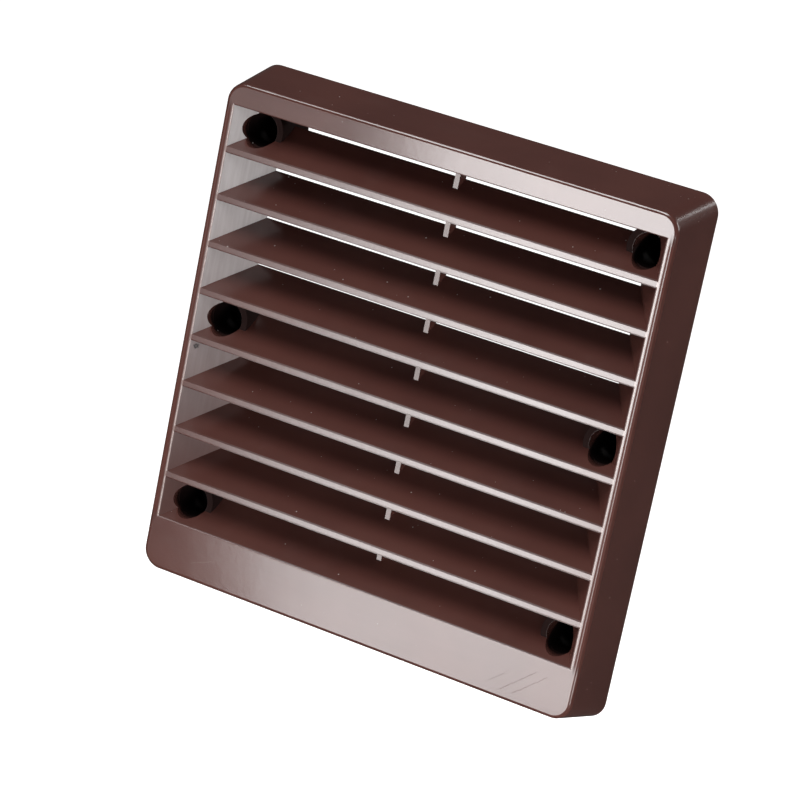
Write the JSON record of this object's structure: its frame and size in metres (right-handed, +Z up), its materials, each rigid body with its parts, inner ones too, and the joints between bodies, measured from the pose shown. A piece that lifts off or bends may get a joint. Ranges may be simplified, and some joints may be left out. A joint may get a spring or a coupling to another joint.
{
  "type": "external vent grille",
  "caption": "Square louvred vent grille moulded in one piece, with a flared skirt, steep slats, a wide bottom band and six screw bores at its sides; covers a ventilation opening in a wall.",
  "frame": {"origin": "centre of the face that lies against the wall, in the middle of the front face's width and height", "axes": "+X to the right seen from outside, +Y into the wall, +Z up"},
  "size_m": [0.154, 0.022, 0.162],
  "materials": {
    "grille_body": "glossy dark brown moulding"
  },
  "bodies": {
    "root": {"grille_body": "grille_body"}
  },
  "joints": []
}
